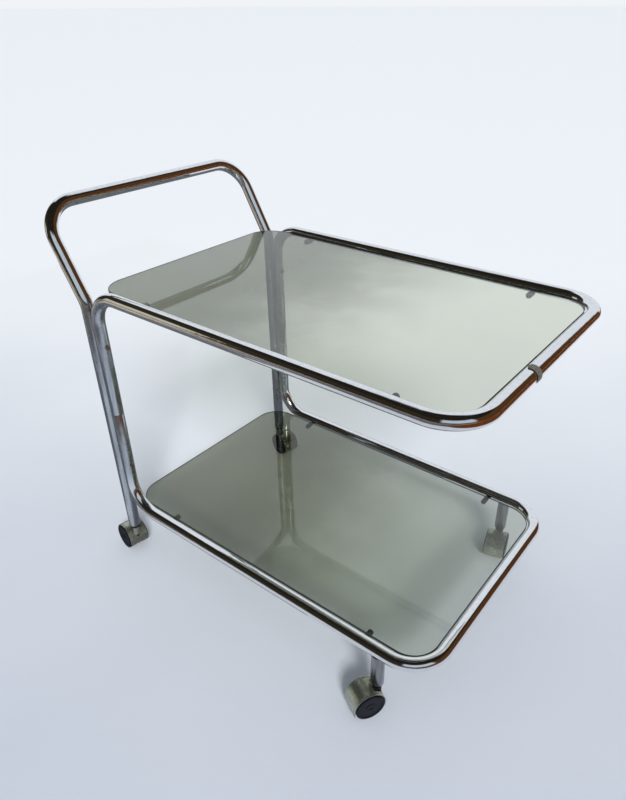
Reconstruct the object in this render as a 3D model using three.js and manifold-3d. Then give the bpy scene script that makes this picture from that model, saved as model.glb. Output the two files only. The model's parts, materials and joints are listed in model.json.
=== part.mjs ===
// Bar cart on wheels: bent steel tube frame, two glass shelves, push handle and four twin-wheel casters.
// Units are millimetres. +X points to the front, +Y to the left, +Z up, and the wheels stand on Z = 0.
import * as THREE from 'three';
import { mergeVertices } from 'three/addons/utils/BufferGeometryUtils.js';
import Module from 'manifold-3d';

const wasm = await Module();
wasm.setup();

// Fits
const FIT_GAP = 0.3;
const CUT_MARGIN = 5;

// Frame tube
const TUBE_R = 11;
const TUBE_WALL = 1.5;
const TUBE_SIDES = 16;
const BEND_STEP_DEG = 18;

// Frame layout, measured on tube centre lines from the uprights at X = 0
const RAIL_HALF_SPACING = 225;
const LOWER_RAIL_Z = 128.5;
const UPPER_RAIL_Z = 570;
const LOWER_FRONT_BAR_X = 657.9;
const UPPER_FRONT_BAR_X = 677.4;
const UPRIGHT_BEND_R = 57;
const UPPER_CORNER_R = 60;
const LOWER_CORNER_R = 63;
const SEAM_Z = 340.5;

// Handle and rear legs
const HANDLE_RISE = 122;
const HANDLE_SETBACK = 104.2;
const HANDLE_BEND_DROP = 25;
const HANDLE_BEND_R = 45;
const HANDLE_CORNER_R = 60;

// Front legs
const FRONT_LEG_X = 576.5;
const FRONT_LEG_COPE_DROP = 5;
const FRONT_LEG_RIM_R = 5;
const FRONT_LEG_RIM_STEPS = 3;

// Upright joining sleeves
const JOIN_SLEEVE_LENGTH = 70;
const JOIN_SLEEVE_WALL = 1.5;

// Screws that hold the uprights to the rear legs, and their threaded inserts
const UPPER_SCREW_DROP = 96;
const LOWER_SCREW_RISE = 99;
const SCREW_SHANK_R = 2;
const SCREW_HEAD_R = 4.5;
const SCREW_HEAD_HEIGHT = 2.4;
const SCREW_SOCKET_R = 1.5;
const SCREW_SOCKET_DEPTH = 1.4;
const SCREW_REACH = 13;
const INSERT_WALL = 1.4;
const INSERT_LENGTH = 11;
const SMALL_ROUND_SIDES = 12;

// Glass shelves
const GLASS_THICKNESS = 5;
const GLASS_RISE = 2;
const GLASS_SIDE_GAP = 4;
const GLASS_FRONT_GAP = 1.5;
const UPPER_GLASS_REAR_OVERHANG = 12;
const LOWER_GLASS_REAR_OVERHANG = 22;
const GLASS_FRONT_CORNER_R = 47;
const GLASS_REAR_CORNER_R = 49;
const GLASS_CORNER_SEGMENTS = 6;

// Glass supports
const UPPER_SUPPORT_XS = [103, 566];
const LOWER_SUPPORT_XS = [92, 544];
const STUD_R = 3;
const STUD_LENGTH = 31;
const SUPPORT_SLEEVE_R = 5;
const SUPPORT_SLEEVE_LENGTH = 20;
const SUPPORT_SLEEVE_CAP = 2;
const SUPPORT_SLEEVE_START = 14;

// Clip on the upper front bar
const CLIP_Y = -60;
const CLIP_WIDTH = 12;
const CLIP_WALL = 1.6;
const CLIP_FROM_DEG = -60;
const CLIP_TO_DEG = 160;
const CLIP_SEGMENTS = 14;

// Casters
const WHEEL_R = 25.5;
const WHEEL_SIDES = 24;
const WHEEL_OUTER_Y = 21;
const WHEEL_INNER_Y = 7;
const WHEEL_EDGE = 2;
const WHEEL_DISH = 1.2;
const WHEEL_RIM_WIDTH = 4;
const WHEEL_HUB_R = 8;
const AXLE_R = 3;
const AXLE_END_COVER = 3;
const CASTER_TRAIL = 20;
const HOOD_GAP = 0.4;
const HOOD_WALL = 1.2;
const HOOD_HALF_WIDTH = 19;
const HOOD_STEM_SIDE_DROP = 3;
const HOOD_SKIRT = 12;
const HOOD_SEGMENTS = 24;
const WEB_HALF_THICKNESS = 3;
const WEB_DROP = 9.5;
const BOSS_R = 6.4;
const BOSS_RISE = 3.5;
const NOTCH_HALF_WIDTH = 9;
const NOTCH_TRAIL_SIDE = 6.5;
const NOTCH_STEM_SIDE = 5.6;
const STEM_R = 4;
const STEM_TAIL = 24;
const STEM_INSERTION = 24;
const STEM_NECK_R = 5.5;

// Sockets in the leg ends
const SOCKET_DEPTH = 27;
const REAR_COLLAR_R = 9;
const REAR_COLLAR_HEIGHT = 7;
const REAR_NECK = 9;
const FRONT_NECK = 5;
const SOCKET_MOUTH_WALL = 1.8;

// Swivel directions at rest: the way each caster trails, in degrees from +X towards +Y
const CASTERS = [
  { name: 'right_front', front: true, side: -1, trailDeg: 240.8 },
  { name: 'left_front', front: true, side: 1, trailDeg: -76.7 },
  { name: 'right_rear', front: false, side: -1, trailDeg: 170 },
  { name: 'left_rear', front: false, side: 1, trailDeg: -11.7 },
];

// Derived places
const tubeInnerR = TUBE_R - TUBE_WALL;
const rearLegX = -(2 * TUBE_R + FIT_GAP);
const upperScrewZ = UPPER_RAIL_Z - UPPER_SCREW_DROP;
const lowerScrewZ = LOWER_RAIL_Z + LOWER_SCREW_RISE;
const wheelCornerR = WHEEL_R / Math.cos(Math.PI / WHEEL_SIDES);
const hoodInnerR = wheelCornerR + HOOD_GAP;
const hoodOuterR = hoodInnerR + HOOD_WALL;
const bossTopZ = WHEEL_R + Math.sqrt(hoodOuterR ** 2 - CASTER_TRAIL ** 2) + BOSS_RISE;
const frontLegEndZ = bossTopZ + FRONT_NECK;
const rearLegEndZ = bossTopZ + REAR_NECK + REAR_COLLAR_HEIGHT;
const socketR = tubeInnerR - FIT_GAP;
const socketBoreR = STEM_R + FIT_GAP;

// Finishes
const CHROME = { color: 0xd5d8dc, roughness: 0.12, metalness: 1 };
const STEEL = { color: 0xa9acb0, roughness: 0.35, metalness: 1 };
const GLASS = { color: 0x8e9287, roughness: 0.05, metalness: 0 };
const BLACK_RUBBER = { color: 0x1b1b1d, roughness: 0.8, metalness: 0 };
const BLACK_PLASTIC = { color: 0x17181b, roughness: 0.5, metalness: 0 };
const GREY_PLASTIC = { color: 0x8b8d8c, roughness: 0.6, metalness: 0 };
const HOOD_METAL = { color: 0x8d8a72, roughness: 0.4, metalness: 0.9 };

const cart = new THREE.Group();
cart.name = 'bar_cart';

function rad(degrees) {
  return THREE.MathUtils.degToRad(degrees);
}

// A merged, indexed copy with no degenerate triangles and its faces turned outward
function closedSolid(geometry) {
  const bare = geometry.clone();
  bare.deleteAttribute('normal');
  bare.deleteAttribute('uv');
  const merged = mergeVertices(bare, 1e-4);
  const position = merged.getAttribute('position');
  const corners = [new THREE.Vector3(), new THREE.Vector3(), new THREE.Vector3()];
  const kept = [];
  let volume = 0;
  for (let i = 0; i < merged.index.count; i += 3) {
    const ids = [0, 1, 2].map((k) => merged.index.getX(i + k));
    if (new Set(ids).size < 3) continue;
    ids.forEach((id, k) => corners[k].fromBufferAttribute(position, id));
    volume += corners[0].dot(corners[1].clone().cross(corners[2]));
    kept.push(ids);
  }
  const facing = volume < 0 ? kept.map(([a, b, c]) => [a, c, b]) : kept;
  merged.setIndex(facing.flat());
  return merged;
}

function toManifold(geometry) {
  const solid = closedSolid(geometry);
  return new wasm.Manifold(new wasm.Mesh({
    numProp: 3,
    vertProperties: Float32Array.from(solid.getAttribute('position').array),
    triVerts: Uint32Array.from(solid.index.array),
  }));
}

function fromManifold(manifold) {
  const mesh = manifold.getMesh();
  const geometry = new THREE.BufferGeometry();
  geometry.setAttribute('position', new THREE.BufferAttribute(mesh.vertProperties, 3));
  geometry.setIndex(new THREE.BufferAttribute(mesh.triVerts, 1));
  return geometry;
}

function cutAway(geometry, tools) {
  const cut = tools.reduce((body, tool) => body.subtract(toManifold(tool)), toManifold(geometry));
  return fromManifold(cut);
}

function addPart(parent, name, geometry, finish) {
  const solid = closedSolid(geometry);
  solid.computeVertexNormals();
  const mesh = new THREE.Mesh(solid, new THREE.MeshStandardMaterial(finish));
  mesh.name = name;
  parent.add(mesh);
  return mesh;
}

// Round bars along one axis, with corners on the axis directions
function barAlongZ(radius, fromZ, toZ, sides) {
  const bar = new THREE.CylinderGeometry(radius, radius, toZ - fromZ, sides);
  bar.rotateX(Math.PI / 2);
  bar.translate(0, 0, (fromZ + toZ) / 2);
  return bar;
}

function barAlongX(radius, fromX, toX, sides) {
  const bar = barAlongZ(radius, fromX, toX, sides);
  bar.rotateY(Math.PI / 2);
  return bar;
}

function barAlongY(radius, fromY, toY, sides) {
  const bar = new THREE.CylinderGeometry(radius, radius, toY - fromY, sides);
  bar.translate(0, (fromY + toY) / 2, 0);
  return bar;
}

// A body turned about Z from a profile of [radius, height] pairs
function turned(profile, sides, closeLoop) {
  const points = profile.map(([r, z]) => new THREE.Vector2(r, z));
  if (closeLoop) points.push(points[0].clone());
  const body = new THREE.LatheGeometry(points, sides);
  body.rotateX(Math.PI / 2);
  return body;
}

// A tube path with straight runs and round bends, sampled only where its direction changes
class BentPath extends THREE.Curve {
  constructor(corners, bendRadii) {
    super();
    this.points = [corners[0].clone()];
    this.directions = [corners[1].clone().sub(corners[0]).normalize()];
    bendRadii.forEach((radius, i) => this.addBend(corners[i], corners[i + 1], corners[i + 2], radius));
    this.points.push(corners.at(-1).clone());
    this.directions.push(corners.at(-1).clone().sub(corners.at(-2)).normalize());
  }

  addBend(before, corner, after, radius) {
    const inward = corner.clone().sub(before).normalize();
    const outward = after.clone().sub(corner).normalize();
    const angle = inward.angleTo(outward);
    const towardCentre = outward.clone().addScaledVector(inward, -outward.dot(inward)).normalize();
    const start = corner.clone().addScaledVector(inward, -radius * Math.tan(angle / 2));
    const centre = start.clone().addScaledVector(towardCentre, radius);
    const steps = Math.ceil(angle / rad(BEND_STEP_DEG) - 1e-6);
    for (let i = 0; i <= steps; i += 1) {
      const turn = (angle * i) / steps;
      const point = centre.clone();
      point.addScaledVector(towardCentre, -radius * Math.cos(turn));
      point.addScaledVector(inward, radius * Math.sin(turn));
      this.points.push(point);
      const direction = inward.clone().multiplyScalar(Math.cos(turn));
      this.directions.push(direction.addScaledVector(towardCentre, Math.sin(turn)));
    }
  }

  get steps() {
    return this.points.length - 1;
  }

  getUtoTmapping(u) {
    return u;
  }

  getPoint(t) {
    return this.points[Math.round(t * this.steps)].clone();
  }

  getTangent(t) {
    return this.directions[Math.round(t * this.steps)].clone();
  }
}

function circlePoints(radius, sides) {
  const points = [];
  for (let i = 0; i < sides; i += 1) {
    const angle = (2 * Math.PI * i) / sides;
    points.push(new THREE.Vector2(radius * Math.cos(angle), radius * Math.sin(angle)));
  }
  return points;
}

function bentTube(corners, bendRadii) {
  const path = new BentPath(corners.map((c) => new THREE.Vector3(...c)), bendRadii);
  const ring = new THREE.Shape(circlePoints(TUBE_R, TUBE_SIDES));
  ring.holes.push(new THREE.Path(circlePoints(tubeInnerR, TUBE_SIDES)));
  return new THREE.ExtrudeGeometry(ring, { steps: path.steps, extrudePath: path });
}

// Clearance holes for the four frame screws, through everything between two X positions
function screwHoles(radius, fromX, toX, heights) {
  const holes = [];
  for (const side of [-1, 1]) {
    for (const height of heights) {
      const hole = barAlongX(radius, fromX, toX, SMALL_ROUND_SIDES);
      hole.translate(0, side * RAIL_HALF_SPACING, height);
      holes.push(hole);
    }
  }
  return holes;
}

// Handle and rear legs, one bent tube
function handleCorners() {
  const w = RAIL_HALF_SPACING;
  const handleZ = UPPER_RAIL_Z + HANDLE_RISE;
  const bendZ = UPPER_RAIL_Z - HANDLE_BEND_DROP;
  return [
    [rearLegX, -w, rearLegEndZ],
    [rearLegX, -w, bendZ],
    [-HANDLE_SETBACK, -w, handleZ],
    [-HANDLE_SETBACK, w, handleZ],
    [rearLegX, w, bendZ],
    [rearLegX, w, rearLegEndZ],
  ];
}
const handleTube = bentTube(handleCorners(), [
  HANDLE_BEND_R,
  HANDLE_CORNER_R,
  HANDLE_CORNER_R,
  HANDLE_BEND_R,
]);
const insertR = SCREW_SHANK_R + FIT_GAP + INSERT_WALL;
const insertHoles = screwHoles(insertR + FIT_GAP, rearLegX, 0, [lowerScrewZ, upperScrewZ]);
addPart(cart, 'handle_and_rear_legs', cutAway(handleTube, insertHoles), CHROME);

// Shelf frames: each one a bent tube with its rear ends turned up or down as uprights
function shelfFrameCorners(railZ, frontX, endZ) {
  const w = RAIL_HALF_SPACING;
  return [
    [0, -w, endZ],
    [0, -w, railZ],
    [frontX, -w, railZ],
    [frontX, w, railZ],
    [0, w, railZ],
    [0, w, endZ],
  ];
}

function shelfFrame(name, railZ, frontX, endZ, cornerR, screwZ) {
  const bends = [UPRIGHT_BEND_R, cornerR, cornerR, UPRIGHT_BEND_R];
  const tube = bentTube(shelfFrameCorners(railZ, frontX, endZ), bends);
  const reach = TUBE_R + CUT_MARGIN;
  const holes = screwHoles(SCREW_SHANK_R + FIT_GAP, -reach, reach, [screwZ]);
  addPart(cart, name, cutAway(tube, holes), CHROME);
}
const seamUp = SEAM_Z + FIT_GAP / 2;
const seamDown = SEAM_Z - FIT_GAP / 2;
shelfFrame('upper_shelf_frame', UPPER_RAIL_Z, UPPER_FRONT_BAR_X, seamUp, UPPER_CORNER_R, upperScrewZ);
shelfFrame('lower_shelf_frame', LOWER_RAIL_Z, LOWER_FRONT_BAR_X, seamDown, LOWER_CORNER_R, lowerScrewZ);

// Sleeves inside the upright seams
function joiningSleeve() {
  const outer = tubeInnerR - FIT_GAP;
  const inner = outer - JOIN_SLEEVE_WALL;
  const half = JOIN_SLEEVE_LENGTH / 2;
  return turned([[inner, -half], [outer, -half], [outer, half], [inner, half]], TUBE_SIDES, true);
}
for (const [name, side] of [['right_joining_sleeve', -1], ['left_joining_sleeve', 1]]) {
  addPart(cart, name, joiningSleeve(), STEEL).position.set(0, side * RAIL_HALF_SPACING, SEAM_Z);
}

// Front legs: stubs coped under the lower rails, with a rolled-in lower rim
function frontLeg() {
  const topZ = LOWER_RAIL_Z - FRONT_LEG_COPE_DROP;
  const outside = [];
  const inside = [];
  for (let i = 0; i <= FRONT_LEG_RIM_STEPS; i += 1) {
    const turn = rad((60 * i) / FRONT_LEG_RIM_STEPS);
    const inset = FRONT_LEG_RIM_R * (1 - Math.cos(turn));
    const height = frontLegEndZ + FRONT_LEG_RIM_R * (Math.sin(rad(60)) - Math.sin(turn));
    outside.unshift([TUBE_R - inset, height]);
    inside.push([tubeInnerR - inset, height]);
  }
  const blank = turned([...outside, [TUBE_R, topZ], [tubeInnerR, topZ], ...inside], TUBE_SIDES, true);
  const rail = barAlongX(TUBE_R + FIT_GAP, -2 * TUBE_R, 2 * TUBE_R, TUBE_SIDES);
  rail.translate(0, 0, LOWER_RAIL_Z);
  return cutAway(blank, [rail]);
}
for (const [name, side] of [['right_front_leg', -1], ['left_front_leg', 1]]) {
  addPart(cart, name, frontLeg(), CHROME).position.set(FRONT_LEG_X, side * RAIL_HALF_SPACING, 0);
}

// Screws through the uprights and threaded inserts in the rear legs
function frameScrew() {
  const seatX = TUBE_R + FIT_GAP;
  const profile = [
    [0, -SCREW_REACH - TUBE_R],
    [SCREW_SHANK_R, -SCREW_REACH - TUBE_R],
    [SCREW_SHANK_R, seatX],
    [SCREW_HEAD_R, seatX],
    [SCREW_HEAD_R, seatX + SCREW_HEAD_HEIGHT / 2],
    [SCREW_HEAD_R * 0.7, seatX + SCREW_HEAD_HEIGHT],
    [SCREW_SOCKET_R, seatX + SCREW_HEAD_HEIGHT],
    [SCREW_SOCKET_R, seatX + SCREW_HEAD_HEIGHT - SCREW_SOCKET_DEPTH],
    [0, seatX + SCREW_HEAD_HEIGHT - SCREW_SOCKET_DEPTH],
  ];
  const screw = turned(profile, SMALL_ROUND_SIDES, false);
  screw.rotateY(Math.PI / 2);
  return screw;
}

function threadedInsert() {
  const bore = SCREW_SHANK_R + FIT_GAP;
  const faceX = rearLegX + TUBE_R - FIT_GAP;
  const tailX = faceX - INSERT_LENGTH;
  const insert = turned([[bore, tailX], [insertR, tailX], [insertR, faceX], [bore, faceX]],
    SMALL_ROUND_SIDES, true);
  insert.rotateY(Math.PI / 2);
  return insert;
}
for (const [sideName, side] of [['right', -1], ['left', 1]]) {
  for (const [levelName, height] of [['upper', upperScrewZ], ['lower', lowerScrewZ]]) {
    const place = [0, side * RAIL_HALF_SPACING, height];
    addPart(cart, `${sideName}_${levelName}_frame_screw`, frameScrew(), STEEL).position.set(...place);
    const insertName = `${sideName}_${levelName}_threaded_insert`;
    addPart(cart, insertName, threadedInsert(), STEEL).position.set(...place);
  }
}

// Glass shelves with rounded corners
function glassShelf(rearX, frontX) {
  const half = RAIL_HALF_SPACING - TUBE_R - GLASS_SIDE_GAP;
  const rearR = GLASS_REAR_CORNER_R;
  const frontR = GLASS_FRONT_CORNER_R;
  const outline = new THREE.Shape();
  outline.absarc(frontX - frontR, -half + frontR, frontR, rad(-90), 0, false);
  outline.absarc(frontX - frontR, half - frontR, frontR, 0, rad(90), false);
  outline.absarc(rearX + rearR, half - rearR, rearR, rad(90), rad(180), false);
  outline.absarc(rearX + rearR, -half + rearR, rearR, rad(180), rad(270), false);
  return new THREE.ExtrudeGeometry(outline, {
    depth: GLASS_THICKNESS,
    bevelEnabled: false,
    curveSegments: GLASS_CORNER_SEGMENTS,
  });
}
const upperGlassFrontX = UPPER_FRONT_BAR_X - TUBE_R - GLASS_FRONT_GAP;
const lowerGlassFrontX = LOWER_FRONT_BAR_X - TUBE_R - GLASS_FRONT_GAP;
const glassUnderside = GLASS_RISE - GLASS_THICKNESS;
addPart(cart, 'upper_glass_shelf', glassShelf(-UPPER_GLASS_REAR_OVERHANG, upperGlassFrontX), GLASS)
  .position.z = UPPER_RAIL_Z + glassUnderside;
addPart(cart, 'lower_glass_shelf', glassShelf(-LOWER_GLASS_REAR_OVERHANG, lowerGlassFrontX), GLASS)
  .position.z = LOWER_RAIL_Z + glassUnderside;

// Glass supports: a stud welded inside the rail and a rubber sleeve under the glass.
// Both are drawn for the left rail, its centre line on the X axis, and turned for the right rail.
const supportDrop = glassUnderside - FIT_GAP - SUPPORT_SLEEVE_R;
function supportStud() {
  const stud = barAlongY(STUD_R, -STUD_LENGTH, 0, SMALL_ROUND_SIDES);
  stud.translate(0, 0, supportDrop);
  const rail = barAlongX(TUBE_R + FIT_GAP, -2 * TUBE_R, 2 * TUBE_R, TUBE_SIDES);
  return cutAway(stud, [rail]);
}

function supportSleeve() {
  const bore = STUD_R + FIT_GAP;
  const end = SUPPORT_SLEEVE_START + SUPPORT_SLEEVE_LENGTH;
  const profile = [
    [0, end],
    [SUPPORT_SLEEVE_R, end],
    [SUPPORT_SLEEVE_R, SUPPORT_SLEEVE_START],
    [bore, SUPPORT_SLEEVE_START],
    [bore, end - SUPPORT_SLEEVE_CAP],
    [0, end - SUPPORT_SLEEVE_CAP],
  ];
  const sleeve = turned(profile, SMALL_ROUND_SIDES, false);
  sleeve.rotateX(Math.PI / 2);
  sleeve.translate(0, 0, supportDrop);
  return sleeve;
}

function addSupport(prefix, side, x, railZ) {
  const spot = new THREE.Group();
  spot.position.set(x, side * RAIL_HALF_SPACING, railZ);
  spot.rotation.z = side > 0 ? 0 : Math.PI;
  cart.add(spot);
  addPart(spot, `${prefix}_glass_stud`, supportStud(), STEEL);
  addPart(spot, `${prefix}_rubber_sleeve`, supportSleeve(), BLACK_RUBBER);
}
const SUPPORT_LEVELS = [
  { name: 'upper', xs: UPPER_SUPPORT_XS, railZ: UPPER_RAIL_Z },
  { name: 'lower', xs: LOWER_SUPPORT_XS, railZ: LOWER_RAIL_Z },
];
for (const level of SUPPORT_LEVELS) {
  for (const [sideName, side] of [['right', -1], ['left', 1]]) {
    addSupport(`${sideName}_${level.name}_rear`, side, level.xs[0], level.railZ);
    addSupport(`${sideName}_${level.name}_front`, side, level.xs[1], level.railZ);
  }
}

// Spring clip snapped over the upper front bar
function barClip() {
  const inner = TUBE_R + FIT_GAP;
  const outer = inner + CLIP_WALL;
  const band = new THREE.Shape();
  band.absarc(0, 0, outer, rad(CLIP_FROM_DEG), rad(CLIP_TO_DEG), false);
  band.absarc(0, 0, inner, rad(CLIP_TO_DEG), rad(CLIP_FROM_DEG), true);
  const clip = new THREE.ExtrudeGeometry(band, {
    depth: CLIP_WIDTH,
    bevelEnabled: false,
    curveSegments: CLIP_SEGMENTS,
  });
  clip.rotateX(Math.PI / 2);
  clip.translate(0, CLIP_WIDTH / 2, 0);
  return clip;
}
addPart(cart, 'front_bar_clip', barClip(), GREY_PLASTIC)
  .position.set(UPPER_FRONT_BAR_X, CLIP_Y, UPPER_RAIL_Z);

// Caster parts are drawn with the stem axis on Z, trailing towards +X, and the axle along Y
function casterHood() {
  const shell = new THREE.Shape();
  const stemSide = Math.PI + Math.asin(HOOD_STEM_SIDE_DROP / hoodOuterR);
  shell.moveTo(CASTER_TRAIL + hoodInnerR, WHEEL_R - HOOD_SKIRT);
  shell.lineTo(CASTER_TRAIL + hoodOuterR, WHEEL_R - HOOD_SKIRT);
  shell.absarc(CASTER_TRAIL, WHEEL_R, hoodOuterR, 0, stemSide, false);
  shell.absarc(CASTER_TRAIL, WHEEL_R, hoodInnerR, stemSide, 0, true);
  const shellBody = new THREE.ExtrudeGeometry(shell, {
    depth: 2 * HOOD_HALF_WIDTH,
    bevelEnabled: false,
    curveSegments: HOOD_SEGMENTS,
  });
  shellBody.translate(0, 0, -HOOD_HALF_WIDTH);
  shellBody.rotateX(Math.PI / 2);

  const webR = (hoodInnerR + hoodOuterR) / 2;
  const webEdge = Math.asin(WEB_DROP / webR);
  const web = new THREE.Shape();
  web.absarc(CASTER_TRAIL, WHEEL_R, webR, -webEdge, Math.PI + webEdge, false);
  const webBody = new THREE.ExtrudeGeometry(web, {
    depth: 2 * WEB_HALF_THICKNESS,
    bevelEnabled: false,
    curveSegments: HOOD_SEGMENTS,
  });
  webBody.translate(0, 0, -WEB_HALF_THICKNESS);
  webBody.rotateX(Math.PI / 2);

  const notchLength = NOTCH_TRAIL_SIDE + NOTCH_STEM_SIDE;
  const notch = new THREE.BoxGeometry(notchLength, 2 * NOTCH_HALF_WIDTH, hoodOuterR);
  notch.translate((NOTCH_TRAIL_SIDE - NOTCH_STEM_SIDE) / 2, 0, WHEEL_R + hoodOuterR / 2);

  const boss = barAlongZ(BOSS_R, WHEEL_R - WEB_DROP, bossTopZ, TUBE_SIDES);
  const boreFoot = bossTopZ - STEM_TAIL - FIT_GAP;
  const stemBore = barAlongZ(socketBoreR, boreFoot, bossTopZ + CUT_MARGIN, SMALL_ROUND_SIDES);
  const axleBore = barAlongY(AXLE_R + FIT_GAP, -HOOD_HALF_WIDTH, HOOD_HALF_WIDTH, SMALL_ROUND_SIDES);
  axleBore.translate(CASTER_TRAIL, 0, WHEEL_R);
  const shellWithNotch = toManifold(shellBody).subtract(toManifold(notch));
  const hood = shellWithNotch.add(toManifold(webBody)).add(toManifold(boss));
  return cutAway(fromManifold(hood), [stemBore, axleBore]);
}

// A steel stem with a thicker neck between the hood's boss and the leg's socket
function casterStem(legEndZ, socketFootZ) {
  const profile = [
    [0, bossTopZ - STEM_TAIL],
    [STEM_R, bossTopZ - STEM_TAIL],
    [STEM_R, bossTopZ + FIT_GAP],
    [STEM_NECK_R, bossTopZ + FIT_GAP],
    [STEM_NECK_R, socketFootZ - FIT_GAP],
    [STEM_R, socketFootZ - FIT_GAP],
    [STEM_R, legEndZ + STEM_INSERTION],
    [0, legEndZ + STEM_INSERTION],
  ];
  return turned(profile, SMALL_ROUND_SIDES, false);
}

function casterAxle() {
  const end = WHEEL_OUTER_Y - AXLE_END_COVER - FIT_GAP;
  return barAlongY(AXLE_R, -end, end, SMALL_ROUND_SIDES);
}

// A wheel with a blind bore, drawn for the +Y side; its flats touch the floor at the wheel radius
function casterWheel() {
  const bore = AXLE_R + FIT_GAP;
  const boreEnd = WHEEL_OUTER_Y - AXLE_END_COVER;
  const dishY = WHEEL_OUTER_Y - WHEEL_DISH;
  const points = [
    [0, boreEnd],
    [bore, boreEnd],
    [bore, WHEEL_INNER_Y],
    [wheelCornerR - WHEEL_EDGE, WHEEL_INNER_Y],
    [wheelCornerR, WHEEL_INNER_Y + WHEEL_EDGE],
    [wheelCornerR, WHEEL_OUTER_Y - WHEEL_EDGE],
    [wheelCornerR - WHEEL_EDGE, WHEEL_OUTER_Y],
    [wheelCornerR - WHEEL_EDGE - WHEEL_RIM_WIDTH, WHEEL_OUTER_Y],
    [wheelCornerR - WHEEL_EDGE - WHEEL_RIM_WIDTH - WHEEL_DISH, dishY],
    [WHEEL_HUB_R, dishY],
    [WHEEL_HUB_R - WHEEL_DISH, WHEEL_OUTER_Y],
    [0, WHEEL_OUTER_Y],
  ].map(([r, y]) => new THREE.Vector2(r, y));
  return new THREE.LatheGeometry(points, WHEEL_SIDES, Math.PI / WHEEL_SIDES);
}

// Leg-end sockets: the rear ones have a collar below the tube, the front ones fill the rolled-in rim
function rearSocket() {
  const collarFoot = rearLegEndZ - REAR_COLLAR_HEIGHT;
  const collarTop = rearLegEndZ - FIT_GAP;
  const profile = [
    [socketBoreR, collarFoot],
    [REAR_COLLAR_R, collarFoot],
    [REAR_COLLAR_R, collarTop],
    [socketR, collarTop],
    [socketR, rearLegEndZ + SOCKET_DEPTH],
    [socketBoreR, rearLegEndZ + SOCKET_DEPTH],
  ];
  return turned(profile, TUBE_SIDES, true);
}

function frontSocket() {
  const mouthR = socketBoreR + SOCKET_MOUTH_WALL;
  const shoulderZ = frontLegEndZ + FRONT_LEG_RIM_R;
  const profile = [
    [socketBoreR, frontLegEndZ],
    [mouthR, frontLegEndZ],
    [socketR, shoulderZ],
    [socketR, frontLegEndZ + SOCKET_DEPTH],
    [socketBoreR, frontLegEndZ + SOCKET_DEPTH],
  ];
  return turned(profile, TUBE_SIDES, true);
}

function addCaster({ name, front, side, trailDeg }) {
  const legEndZ = front ? frontLegEndZ : rearLegEndZ;
  const socketFootZ = front ? frontLegEndZ : rearLegEndZ - REAR_COLLAR_HEIGHT;
  const legX = front ? FRONT_LEG_X : rearLegX;
  const socketShape = front ? frontSocket() : rearSocket();
  const socket = addPart(cart, `${name}_stem_socket`, socketShape, BLACK_PLASTIC);
  socket.position.set(legX, side * RAIL_HALF_SPACING, 0);

  const swivel = new THREE.Group();
  swivel.position.set(legX, side * RAIL_HALF_SPACING, 0);
  swivel.rotation.z = rad(trailDeg);
  cart.add(swivel);
  addPart(swivel, `${name}_caster_hood`, casterHood(), HOOD_METAL);
  addPart(swivel, `${name}_caster_stem`, casterStem(legEndZ, socketFootZ), STEEL);
  addPart(swivel, `${name}_caster_axle`, casterAxle(), STEEL).position.set(CASTER_TRAIL, 0, WHEEL_R);
  for (const [wheelName, turn] of [['left_wheel', 0], ['right_wheel', Math.PI]]) {
    const wheel = addPart(swivel, `${name}_caster_${wheelName}`, casterWheel(), BLACK_PLASTIC);
    wheel.position.set(CASTER_TRAIL, 0, WHEEL_R);
    wheel.rotation.z = turn;
  }
}
CASTERS.forEach(addCaster);

// The part's origin is the bottom centre of its bounding box
cart.updateMatrixWorld(true);
const bounds = new THREE.Box3().setFromObject(cart, true);
const middle = bounds.getCenter(new THREE.Vector3());
cart.position.set(-middle.x, -middle.y, -bounds.min.z);
cart.updateMatrixWorld(true);

const part = new THREE.Group();
part.name = 'bar_cart_part';
part.add(cart);

export default part;
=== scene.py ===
import json
import math

import bmesh
import bpy
from mathutils import Matrix, Vector


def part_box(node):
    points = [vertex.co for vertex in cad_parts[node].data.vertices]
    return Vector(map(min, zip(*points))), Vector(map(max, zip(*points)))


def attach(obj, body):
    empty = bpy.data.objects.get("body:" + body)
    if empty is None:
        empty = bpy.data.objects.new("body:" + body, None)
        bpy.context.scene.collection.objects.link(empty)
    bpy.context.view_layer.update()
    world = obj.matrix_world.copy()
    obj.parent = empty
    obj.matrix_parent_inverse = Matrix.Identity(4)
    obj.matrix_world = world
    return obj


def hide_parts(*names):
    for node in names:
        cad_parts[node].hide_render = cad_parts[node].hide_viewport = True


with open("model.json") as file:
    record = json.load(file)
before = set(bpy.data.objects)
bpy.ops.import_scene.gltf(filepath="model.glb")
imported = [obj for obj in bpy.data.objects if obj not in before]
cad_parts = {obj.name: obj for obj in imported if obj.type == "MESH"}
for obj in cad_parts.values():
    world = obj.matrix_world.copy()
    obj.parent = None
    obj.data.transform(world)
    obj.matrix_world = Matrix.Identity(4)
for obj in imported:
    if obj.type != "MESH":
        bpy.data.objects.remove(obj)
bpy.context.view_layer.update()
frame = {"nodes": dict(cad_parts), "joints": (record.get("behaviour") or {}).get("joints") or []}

# ---------------------------------------------------------------------------------------------
# Handle and rear legs: one length of 22 mm steel tube, bent to an inverted U whose top leans
# back as the push handle. It is polished and chromed, and the plating is duller down the legs.
# ---------------------------------------------------------------------------------------------


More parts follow.
